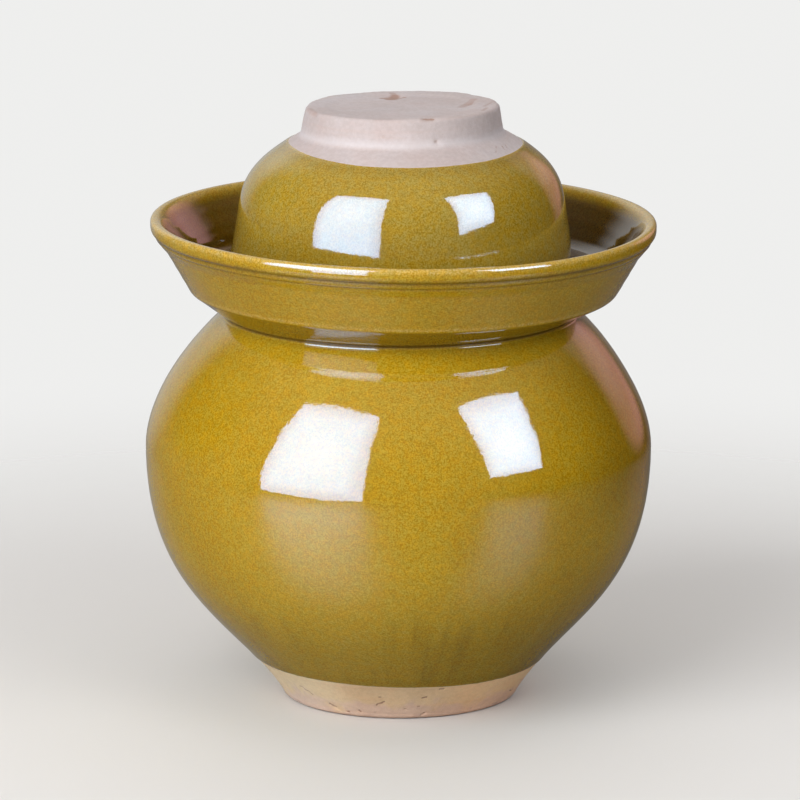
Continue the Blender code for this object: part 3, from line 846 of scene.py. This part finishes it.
def lid_move(arc, theta, points, normals):
    z = points[:, 2]
    lift = np.zeros(len(arc))
    # the coat of glaze and its bead
    below = lid.glaze - arc
    bead = 0.10 * bell(below, 2.0, 1.8) * smooth(below, 0, 0.8)
    coat = 0.18 * smooth(below, 0.0, 0.5) + bead - 0.08 * smooth(below, 4.0, 20.0)
    lift += (arc > lid.rim_out - 1) * (arc < lid.glaze) * coat
    # thrown dome, bare top, uneven ring and inside
    dome = smooth(arc, lid.side, lid.side + 8) * (arc < lid.glaze)
    slow = lumps(points, LID_SLOW, 0.045)
    lift += dome * (0.010 * spiral(z, 7.5, theta) + slow + lumps(points, LID_FINE, 0.008))
    bare = (arc >= lid.glaze) * smooth(lid.length - arc, 0.0, 4.0)
    lift += bare * (lumps(points, LID_CLAY, 0.055) + 0.03 * spiral(z, 2.1))
    ring = window(arc, lid.fillet, lid.ring_edge, lid.ring_in, lid.ring_in + 6)
    lift += ring * waves(theta, [(3, 0.14, 0.4), (5, 0.12, 1.9), (8, 0.09, 0.3), (13, 0.07, 2.2)])
    inside = window(arc, 4, 14, lid.rim_in - 14, lid.rim_in - 4)
    lift += inside * (0.12 * spiral(z, 8.0, theta) + lumps(points, LID_INSIDE, 0.12))
    for *place, size, depth, _ in LID_CHIPS:
        lift -= depth * bell(np.linalg.norm(points - polar(*place), axis=1), 0.0, size)
    out = normals * lift[:, None]
    # the dome sits a little to the right, and its top leans
    out[:, 0] += 0.9 * smooth(arc, lid.rim_out, lid.side + 10)
    out[:, 0] += 0.9 * (1 - smooth(arc, lid.inside_top + 20, lid.rim_in))
    upper = smooth(arc, lid.side + 6, lid.shoulder - 12)
    upper = upper + (1 - smooth(arc, lid.inside_top, lid.inside_top + 30))
    out[:, 2] += upper * lid_tilt(points[:, 0], points[:, 1])
    return out


def lid_scar(arc, theta, points):
    scar = np.zeros(len(arc))
    for *place, size, _, strength in LID_CHIPS:
        gap = np.linalg.norm(points - polar(*place), axis=1)
        scar = np.maximum(scar, strength * bell(gap, 0.0, size * 0.9))
    return scar


def lid_pool(arc, theta, points):
    pool = 0.40 * (1 - smooth(arc, lid.rim_in - 6, lid.rim_in))
    pool += 0.20 * bell(arc, lid.rim_out + 2, 3.0) + 0.14 * bell(arc, lid.glaze - 3.0, 3.0)
    return np.clip(pool, 0, 0.9)


def lid_thin_and_lit(arc, theta, points):
    thin = 0.55 * bell(arc, lid.rim, 2.4)
    line = np.exp(-np.clip(lid.glaze - arc, 0, None) / 0.45)
    thin += 0.7 * line * (arc <= lid.glaze)
    # a painted highlight: paler bare clay along the ring's fillet
    thin += 0.42 * bell(arc, lid.fillet - 1.0, 2.0) * (arc > lid.glaze)
    return np.clip(thin, 0, 0.9)


def on_lid(azimuth, radius, z):
    """A point on the lid's bare clay, with the lean of its top."""
    point = polar(azimuth, radius, z)
    point[2] += lid_tilt(point[0], point[1])
    return point


def on_slope(azimuth, radius):
    return on_lid(azimuth, radius, float(np.interp(-radius, -lid_r[on_dome], lid_z[on_dome])))


# marks on the top and its ring: azimuth, radius and z of both ends, half width, strength
TOP_MARKS = [
    (11.8, 42.2, 268.1, 20.4, 42.2, 268.2, 0.38, 1.0),
    (-163.0, 27.0, 267.9, 177.0, 28.5, 267.9, 1.7, 0.8),
    (-168.0, 23.0, 267.8, -176.0, 31.0, 267.8, 2.4, 0.9),
    (-176.0, 31.0, 268.0, -174.0, 36.0, 268.5, 1.6, 0.5),
    (84.0, 27.6, 267.8, 112.0, 35.4, 268.6, 2.2, 0.45),
    (92.0, 30.0, 267.8, 104.0, 33.0, 268.0, 1.3, 0.5),
    (62.0, 41.2, 268.6, 74.0, 39.8, LID_TOP, 1.0, 0.38),
    (80.0, 38.0, LID_TOP, 92.0, 40.6, LID_TOP, 0.9, 0.38),
    (-82.0, 41.0, 268.6, -62.0, 42.3, 268.0, 1.6, 0.30),
    (19.6, 44.5, 258.5, 20.8, 44.5, 258.7, 0.6, 0.55),
    (20.8, 44.4, 259.4, 27.0, 44.0, 262.6, 0.3, 0.45),
    (50.0, 44.5, 258.0, 63.0, 44.4, 259.6, 1.0, 0.40),
]
# marks on the slope outside the ring: azimuth and radius of both ends, half width, strength
SLOPE_MARKS = [
    (52.0, 53.2, 54.5, 52.0, 0.5, 0.8), (56.0, 51.0, 57.6, 50.0, 0.5, 0.6),
    (60.5, 52.6, 62.0, 50.8, 0.55, 0.7), (64.0, 52.4, 66.5, 50.6, 0.5, 0.7),
    (-28.0, 55.0, -26.5, 54.2, 0.4, 0.5),
]
lid_strokes = [(on_lid(*row[:3]), on_lid(*row[3:6]), *row[6:]) for row in TOP_MARKS]
lid_strokes += [(on_slope(*row[:2]), on_slope(*row[2:4]), *row[4:]) for row in SLOPE_MARKS]

lid_glaze = glaze("amber_glaze_on_lid", scaled(GLAZE_BODY, (0.87, 0.95, 2.3)), seed=20.0)
lid_clay = clay(
    "bare_lid_clay", CLAY_LID, specks=0.35, seed=30.0, marks=lid_strokes, warm=(0.40, 0.25, 0.18)
)

lid_rings = ring_arcs(
    lid,
    [(lid.rim_in - 10, 4.0), (math.inf, 2.1)],
    [
        ("inside_top", 3.0, 0.3), ("rim_in", 0.8, 0.25), ("rim", 0.6, 0.2),
        ("rim_out", 0.6, 0.25), ("side", 1.6, 0.2), ("glaze", 0.15, 0.16),
        ("shoulder", 0.7, 0.2), ("fillet", 0.4, 0.2), ("ring_edge", 0.35, 0.15),
        ("ring_in", 0.5, 0.2), (lid.ring_in + 5.0, 0.7, 0.2),
    ],
)
LID_COUNTS = [
    (5, 16), (12, 32), (26, 64), (lid.inside_top + 14, 128), (lid.glaze - 3, 256),
    (lid.length - 27, 512), (lid.length - 16, 256), (lid.length - 8, 128),
    (lid.length - 3, 64), (math.inf, 32),
]

outer_lid = turned(
    "outer_lid_bowl",
    lid,
    lid_rings,
    LID_COUNTS,
    lambda arc: 1 if arc > lid.glaze else 0,
    [lid_glaze, lid_clay],
    move=lid_move,
    shift=lid_shift,
    attributes={"pool": lid_pool, "thin": lid_thin_and_lit, "scar": lid_scar},
)
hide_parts("outer_lid")
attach(outer_lid, "outer_lid")

# ------------------------------------------------------------ the inner lid

SEAT = COLLAR_TOP + SEAT_GAP
PLATE = SEAT + 6.5
KNOB = SEAT + 21.5
INNER_R, KNOB_R = 60.0, 12.5

# from the middle of the underside, out over skirt and rim, and up to the top of the knob
inner = (
    Path((0.0, SEAT + 0.3))
    .line((37.0, SEAT))
    .curve((39.4, SEAT), (40.9, SEAT - 0.9), (41.1, SEAT - 3.0), 12).mark("skirt_in")
    .curve((41.2, SEAT - 5.6), (41.6, SEAT - 7.0), (43.0, SEAT - 7.0), 12).mark("skirt")
    .curve((45.0, SEAT - 7.0), (45.9, SEAT - 6.3), (46.0, SEAT - 4.6), 12)
    .line((46.3, SEAT - 1.2))
    .curve((46.35, SEAT - 0.4), (46.7, SEAT), (47.6, SEAT), 8).mark("seat")
    .line((58.0, SEAT))
    .curve((59.3, SEAT), (INNER_R, SEAT + 0.7), (INNER_R, SEAT + 2.0), 10).mark("rim")
    .line((INNER_R, PLATE - 2.9))
    .curve((INNER_R, PLATE - 1.4), (58.8, PLATE - 0.4), (56.6, PLATE - 0.2), 12).mark("top")
    .curve((48.0, PLATE + 0.2), (26.0, PLATE - 0.1), (17.0, PLATE + 0.9), 40)
    .curve((10.6, PLATE + 1.8), (7.6, PLATE + 4.6), (7.7, PLATE + 7.0), 24).mark("waist")
    .curve((7.9, KNOB - 5.4), (KNOB_R, KNOB - 7.6), (KNOB_R, KNOB - 4.4), 24).mark("knob")
    .curve((KNOB_R, KNOB - 1.6), (8.0, KNOB - 0.2), (0.0, KNOB), 24)
)
INNER_FINE = ripple(31, 16, 18, 40)
INNER_CLAY = ripple(32, 30, 3, 8)


def inner_move(arc, theta, points, normals):
    # thrown rings on the plate and knob, the glaze's thickness, and rough clay below
    radius = np.hypot(points[:, 0], points[:, 1])
    thrown = lumps(points, INNER_FINE, 0.10) + 0.06 * spiral(radius, 6.5, theta)
    upper = smooth(arc, inner.rim, inner.rim + 4)
    lift = upper * thrown * smooth(inner.length - arc, 0.0, 5.0)
    lift += 0.18 * smooth(arc, inner.rim - 0.3, inner.rim + 0.3)
    bare = 1 - smooth(arc, inner.rim - 1, inner.rim)
    lift -= 0.05 * bare
    lift += bare * lumps(points, INNER_CLAY, 0.04) * smooth(arc, 2.0, 6.0)
    return normals * lift[:, None]


def inner_pool(arc, theta, points):
    return np.clip(0.75 * bell(arc, inner.waist - 7, 5.0) + 0.12, 0, 0.9)


def inner_thin(arc, theta, points):
    thin = 0.6 * bell(arc, inner.top - 2.5, 2.0) + 0.5 * bell(arc, inner.knob, 2.4)
    return np.clip(thin, 0, 0.9)


inner_glaze = glaze("amber_glaze_on_inner_lid", scaled(GLAZE_BODY, (0.92,) * 3), seed=50.0)
inner_clay = clay("bare_inner_lid_clay", CLAY_BODY, specks=0.6, seed=60.0)
inner_rings = ring_arcs(
    inner,
    [(math.inf, 1.6)],
    [
        ("skirt_in", 0.6, 0.25), ("skirt", 0.6, 0.25), ("seat", 0.5, 0.25), ("rim", 0.3, 0.2),
        ("top", 0.8, 0.2), ("waist", 0.8, 0.2), ("knob", 0.6, 0.2),
    ],
)
INNER_COUNTS = [
    (4, 16), (10, 32), (24, 64), (inner.top + 28, 128), (inner.length - 5, 64), (math.inf, 32)
]
inner_lid = turned(
    "inner_lid_knobbed",
    inner,
    inner_rings,
    INNER_COUNTS,
    lambda arc: 0 if arc > inner.rim else 1,
    [inner_glaze, inner_clay],
    move=inner_move,
    attributes={"pool": inner_pool, "thin": inner_thin, "scar": lambda arc, *_: arc * 0},
)
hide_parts("inner_lid")
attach(inner_lid, "inner_lid")

# --------------------------------------------------------------- the weights

WEIGHT_LOW = FLOOR_Z + SEAT_GAP
WEIGHT_HIGH = WEIGHT_LOW + 20.0
WEIGHT_R, WEIGHT_SPLIT, CORNER_R = 44.0, 3.0, 6.0
HOLE_R, HOLE_X = 8.0, 20.0
WEIGHT_EDGE, HOLE_EDGE = 2.6, 1.8  # roundings
WEIGHT_POINTS = 160
WEIGHT_WAVES = ripple(41, 40, 4, 12)
weight_clay = clay("bare_weight_clay", scaled(CLAY_BODY, (0.97, 0.97, 0.98)), specks=0.6, seed=70.0)


def weight_outline():
    """The right-hand half moon from above, evenly spaced, counter-clockwise."""
    side = WEIGHT_SPLIT / 2
    x = side + CORNER_R
    y = math.sqrt((WEIGHT_R - CORNER_R) ** 2 - x * x)
    turn = math.atan2(y, x)

    def arc(centre_y, start, end):
        angles = np.linspace(start, end, 40)[1:]
        return [(x + CORNER_R * math.cos(a), centre_y + CORNER_R * math.sin(a)) for a in angles]

    angles = np.linspace(-turn, turn, 200)
    points = [(WEIGHT_R * math.cos(a), WEIGHT_R * math.sin(a)) for a in angles]
    points += arc(y, turn, math.pi)
    points += [(side, along) for along in np.linspace(y, -y, 120)[1:]]
    points += arc(-y, math.pi, 2 * math.pi - turn)
    points = np.array(points)
    length = np.r_[0, np.cumsum(np.hypot(*np.diff(points, axis=0).T))]
    at = np.arange(WEIGHT_POINTS) * (length[-1] / WEIGHT_POINTS)
    return np.stack([np.interp(at, length, points[:, k]) for k in (0, 1)], 1)


def rounded(ring, away, edge, face_z, up, degrees):
    """Loops round an edge between a wall at 0 degrees and a face at 90."""
    return [
        (ring + away * edge * (1 - math.cos(a)), face_z + up * edge * (1 - math.sin(a)))
        for a in np.radians(degrees)
    ]


def half_moon(name, side):
    """A slab with rounded edges and a finger hole: loops run up the outside, in over the top,
    down the hole and back."""
    outline = weight_outline()
    tangent = np.roll(outline, -1, 0) - np.roll(outline, 1, 0)
    tangent /= np.linalg.norm(tangent, axis=1)[:, None]
    inward = np.stack([-tangent[:, 1], tangent[:, 0]], 1)
    angle = np.arctan2(outline[:, 1], outline[:, 0] - HOLE_X)
    hole_out = np.stack([np.cos(angle), np.sin(angle)], 1)
    hole = np.array([HOLE_X, 0.0]) + HOLE_R * hole_out
    flat_out, flat_in = outline + inward * WEIGHT_EDGE, hole + hole_out * HOLE_EDGE
    low, high = WEIGHT_LOW, WEIGHT_HIGH
    between = np.linspace(0, 1, 12)[1:-1]

    loops = rounded(outline, inward, WEIGHT_EDGE, low, 1, np.linspace(90, 0, 7))
    levels = np.linspace(low + WEIGHT_EDGE, high - WEIGHT_EDGE, 12)[1:-1]
    loops += [(outline, z) for z in levels]
    loops += rounded(outline, inward, WEIGHT_EDGE, high, -1, np.linspace(0, 90, 7))
    loops += [(flat_out * (1 - t) + flat_in * t, high) for t in between]
    loops += rounded(hole, hole_out, HOLE_EDGE, high, -1, np.linspace(90, 0, 6))
    levels = np.linspace(high - HOLE_EDGE, low + HOLE_EDGE, 9)[1:-1]
    loops += [(hole, z) for z in levels]
    loops += rounded(hole, hole_out, HOLE_EDGE, low, 1, np.linspace(0, 90, 6))
    loops += [(flat_in * (1 - t) + flat_out * t, low) for t in between]

    count = WEIGHT_POINTS
    points = np.vstack([np.column_stack([ring, np.full(count, z)]) for ring, z in loops])
    # rough clay, a little smaller than the plain slab
    pull = points - np.array([WEIGHT_R * 0.45, 0, (low + high) / 2])
    pull /= np.linalg.norm(pull, axis=1)[:, None]
    points = points + pull * (lumps(points, WEIGHT_WAVES, 0.07) - 0.10)[:, None]
    points[:, 2] = np.clip(points[:, 2], low, high)
    if side < 0:
        points = points * np.array([-1, -1, 1])
    faces = []
    for i in range(len(loops)):
        faces += band(i * count, count, (i + 1) % len(loops) * count, count)
    return smooth_object(name, points, faces, [weight_clay], {"scar": np.zeros(len(points))})


for side, body in ((-1, "weight_left"), (1, "weight_right")):
    weight = half_moon(body + "_slab", side)
    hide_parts(body)
    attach(weight, body)

# -------------------------------------------------- floor, light and camera


def floor_material():
    """Seen directly it is pale; mirrored in the glaze it is a dim sheet with a soft sheen,
    stronger on the left. It fades out at its edge."""
    nodes = Nodes(bpy.data.materials.new("pale_floor"))
    radius = nodes.vector("LENGTH", nodes.where)
    ray = nodes.add("LightPath").outputs
    gloss, seen = ray["Is Glossy Ray"], ray["Is Camera Ray"]
    matt = nodes.mix(seen, (0.35, 0.345, 0.335), (0.76, 0.755, 0.745))
    tone = nodes.mix(gloss, matt, (0.125, 0.125, 0.125))
    leftwards = nodes.span(nodes.axes()["X"], 0.06, -0.06, low=0.03, high=0.21)
    sheen = nodes.times(gloss, leftwards)
    inputs = {
        "Base Color": nodes.mix(sheen, tone, (0.75, 0.75, 0.75)),
        "Metallic": sheen,
        "Roughness": nodes.span(gloss, 0.0, 1.0, low=0.75, high=0.38, kind="LINEAR"),
        "Specular IOR Level": nodes.math("MULTIPLY_ADD", gloss, 0.4, 0.2),
    }
    shader = nodes.add("BsdfPrincipled", inputs).outputs[0]
    clear = nodes.add("BsdfTransparent").outputs[0]
    seen_fade = nodes.times(seen, nodes.span(radius, 0.20, 0.66))
    fade = nodes.math("MAXIMUM", seen_fade, nodes.span(radius, 0.40, 0.72))
    return nodes.surface(nodes.add("MixShader", enumerate((fade, shader, clear))).outputs[0])


def table_top(radius=0.75, rings=24, around=96):
    """A round floor, just below the foot."""
    points, faces = [(0.0, 0.0, 0.0)], []
    for i in range(1, rings + 1):
        r = radius * i / rings
        angles = [2 * math.pi * j / around for j in range(around)]
        points += [(r * math.cos(a), r * math.sin(a), 0.0) for a in angles]
    for j in range(around):
        faces.append((0, 1 + j, 1 + (j + 1) % around))
    for i in range(rings - 1):
        a, b = 1 + i * around, 1 + (i + 1) * around
        for j in range(around):
            k = (j + 1) % around
            faces.append((a + j, b + j, b + k, a + k))
    mesh = bpy.data.meshes.new("floor")
    mesh.from_pydata(points, [], faces)
    floor = add_object("floor", mesh)
    floor.location.z = -0.0002
    mesh.materials.append(floor_material())


def facing_matrix(centre, azimuth, elevation, roll):
    """Stands a rectangle at centre with its -Z towards the jar; angles in degrees."""
    azimuth, elevation, roll = (math.radians(angle) for angle in (azimuth, elevation, roll))
    level = math.cos(elevation)
    facing = Vector((-math.sin(azimuth) * level, math.cos(azimuth) * level, -math.sin(elevation)))
    across = Vector((math.cos(azimuth), math.sin(azimuth), 0))
    up = across.cross(facing)
    if up.z < 0:
        up = -up
    cos, sin = math.cos(roll), math.sin(roll)
    across, up = across * cos + up * sin, -across * sin + up * cos
    z = -facing
    x = across if across.cross(up).dot(z) > 0 else -across
    y = z.cross(x)
    turn = Matrix([[x[i], y[i], z[i]] for i in range(3)])
    return Matrix.Translation(Vector(centre)) @ turn.to_4x4()


def soft_light(name, place, width, height, level):
    """The light a soft box throws on matt surfaces."""
    data = bpy.data.lights.new(name, "AREA")
    data.shape = "RECTANGLE"
    data.size, data.size_y = width, height
    data.energy = level * math.pi * width * height
    data.color = (1.0, 0.985, 0.96)
    light = add_object(name, data)
    light.matrix_world = place
    light.visible_glossy = False
    light.visible_camera = False


def soft_face(name, place, width, height, middle_glow, most_glow, border_glow):
    """The bright face of a soft box, seen only in glossy surfaces: brightest in its middle,
    dimmer at its border."""
    mesh = bpy.data.meshes.new(name)
    corners = ((-1, -1), (1, -1), (1, 1), (-1, 1))
    points = [(x * width / 2, y * height / 2, 0) for x, y in corners]
    mesh.from_pydata(points, [], [(0, 1, 2, 3)])
    nodes = Nodes(bpy.data.materials.new(name))
    axes = nodes.axes()
    x = nodes.times(axes["X"], 2 / width)
    y = nodes.times(axes["Y"], 2 / height)
    middle = nodes.math("ADD", nodes.times(x, x), nodes.times(y, y))
    edge = nodes.math("MAXIMUM", nodes.math("ABSOLUTE", x), nodes.math("ABSOLUTE", y))
    top = max(middle_glow)
    centre, most, border = (
        tuple(part / top for part in glow) for glow in (middle_glow, most_glow, border_glow)
    )
    tint = nodes.veil(border, most, edge, 1.0, 0.62)
    tint = nodes.veil(tint, centre, middle, 0.34, 0.0)
    nodes.surface(nodes.add("Emission", enumerate((tint, top))).outputs[0])
    mesh.materials.append(nodes.owner)
    face = add_object(name, mesh)
    face.matrix_world = place
    face.visible_camera = False
    face.visible_diffuse = False
    face.visible_shadow = False


def soft_box(side, face_at, light_at, angles, size, level, glows):
    """angles are azimuth, elevation and roll; glows those of the middle, most and border."""
    soft_light(f"soft_box_{side}", facing_matrix(light_at, *angles), *size, level)
    soft_face(f"soft_face_{side}", facing_matrix(face_at, *angles), *size, *glows)


table_top()
soft_box(
    "left",
    face_at=(-1.080, -1.287, 0.987),
    light_at=(-1.080, -1.287, 0.987),
    angles=(-30.5, 2.9, -2.0),
    size=(1.540, 2.390),
    level=3.7,
    glows=((8.3, 11.8, 16.9), (7.3, 11.0, 16.2), (5.3, 7.5, 12.0)),
)
soft_box(
    "right",
    face_at=(0.921, -0.622, 0.705),
    light_at=(0.70, -0.80, 0.72),
    angles=(32.4, 34.7, 6.6),
    size=(0.666, 0.896),
    level=1.76,
    glows=((10.4, 13.6, 18.0), (8.9, 12.3, 17.0), (6.2, 8.4, 12.6)),
)

# soft patches of the surroundings: direction, cosines where it starts and is full, radiance
# what the glaze mirrors: a dim studio, darkest on the right, a paler wall behind and to the left
MIRROR_BASE = (0.17, 0.172, 0.18)
MIRROR_PATCHES = [
    ((0.0, 0.0, 1.0), 0.30, 0.95, (0.22, 0.22, 0.22)),
    ((0.93, 0.30, -0.15), 0.25, 0.85, (-0.12, -0.17, -0.175)),
    ((-0.302, 0.93, 0.21), 0.86, 0.985, (0.42, 0.44, 0.44)),
    ((0.15, 0.98, 0.05), 0.955, 0.998, (0.09, 0.08, 0.08)),
    ((-0.80, 0.40, 0.42), 0.84, 0.97, (-0.15, -0.15, -0.155)),
    ((-0.25, 0.75, 0.60), 0.86, 0.97, (0.34, 0.35, 0.36)),
    ((0.582, 0.801, 0.139), 0.945, 0.988, (0.78, 0.34, 0.36)),
    ((0.545, 0.751, 0.375), 0.950, 0.990, (0.34, 0.24, 0.26)),
]
# what lights the matt surfaces: a wash from behind, a little from the front and from above
WASH_BASE = (0.14, 0.14, 0.145)
WASH_PATCHES = [
    ((0.0, 1.0, 0.10), 0.66, 0.95, (1.6, 1.6, 1.58)),
    ((0.0, -1.0, 0.15), 0.45, 1.0, (0.30, 0.30, 0.29)),
    ((0.0, 0.0, 1.0), 0.55, 1.0, (0.75, 0.70, 0.66)),
]
BACKDROP = (0.86, 0.86, 0.85)  # what the camera sees


def surroundings(nodes, base, patches):
    """A background whose radiance is the base plus every patch."""
    total = base
    for axis, start, full, radiance in patches:
        towards = nodes.vector("DOT_PRODUCT", nodes.where, Vector(axis).normalized())
        patch = nodes.vector("SCALE", radiance, scale=nodes.span(towards, start, full))
        total = nodes.vector("ADD", total, patch)
    total = nodes.vector("MAXIMUM", total, (0.0, 0.0, 0.0))
    return nodes.add("Background", {0: total}).outputs[0]


def studio():
    nodes = Nodes(bpy.data.worlds.new("studio"), coordinates="Generated")
    mirror = surroundings(nodes, MIRROR_BASE, MIRROR_PATCHES)
    wash = surroundings(nodes, WASH_BASE, WASH_PATCHES)
    seen = nodes.add("Background", {0: BACKDROP}).outputs[0]
    ray = nodes.add("LightPath").outputs
    lit = nodes.add("MixShader", enumerate((ray["Is Glossy Ray"], wash, mirror))).outputs[0]
    shown = nodes.add("MixShader", enumerate((ray["Is Camera Ray"], lit, seen))).outputs[0]
    return nodes.surface(shown)


bpy.context.scene.world = studio()
bpy.context.scene.view_settings.view_transform = "Standard"

CAMERA_ELEVATION = math.radians(12.72)
CAMERA_AIM = Vector((0.0, 0.0, 0.1343))
CAMERA_DISTANCE = 3.133

camera_data = bpy.data.cameras.new("camera")
camera_data.lens = 315.0
camera_data.sensor_width = 36.0
camera_data.clip_end = 20.0
camera_data.shift_y = -0.002375
camera = add_object("camera", camera_data)
back = Vector((0.0, -math.cos(CAMERA_ELEVATION), math.sin(CAMERA_ELEVATION)))
camera.location = CAMERA_AIM + back * CAMERA_DISTANCE
camera.rotation_mode = "QUATERNION"
camera.rotation_quaternion = (-back).to_track_quat("-Z", "Y")
bpy.context.scene.camera = camera

bpy.context.view_layer.update()
